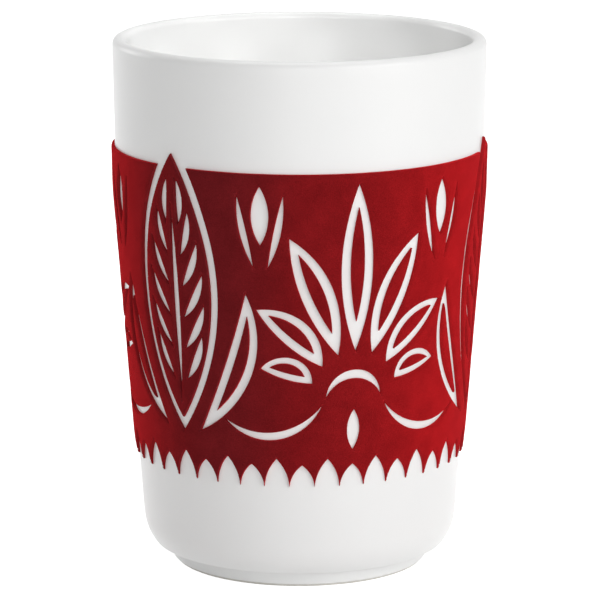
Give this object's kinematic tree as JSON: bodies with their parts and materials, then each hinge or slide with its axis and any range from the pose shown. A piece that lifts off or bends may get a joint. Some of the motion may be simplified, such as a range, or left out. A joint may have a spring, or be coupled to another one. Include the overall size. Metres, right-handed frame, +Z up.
{
  "type": "handleless porcelain cup",
  "caption": "Tall handleless porcelain cup on a low foot ring, glazed white, with a velvety red flocked frieze of palmettes and leaves round its wall.",
  "frame": {"origin": "middle of the ring that the cup stands on, on the table plane", "axes": "+Z up along the cup's axis, -Y towards the viewer of the picture"},
  "size_m": [0.085, 0.085, 0.12],
  "materials": {
    "porcelain": "bare fired porcelain, matt and fine grained",
    "glaze": "clear white glaze, smooth and glossy",
    "flock": "short upright fibres, a velvety pile with a soft sheen"
  },
  "bodies": {
    "root": {"porcelain_body": "porcelain", "glaze_coat": "glaze", "recess_glaze": "glaze", "flock_ground": "flock", "flock_leaf_blades": "flock", "flock_petal_veins": "flock", "flock_sepal_veins": "flock"}
  },
  "joints": []
}
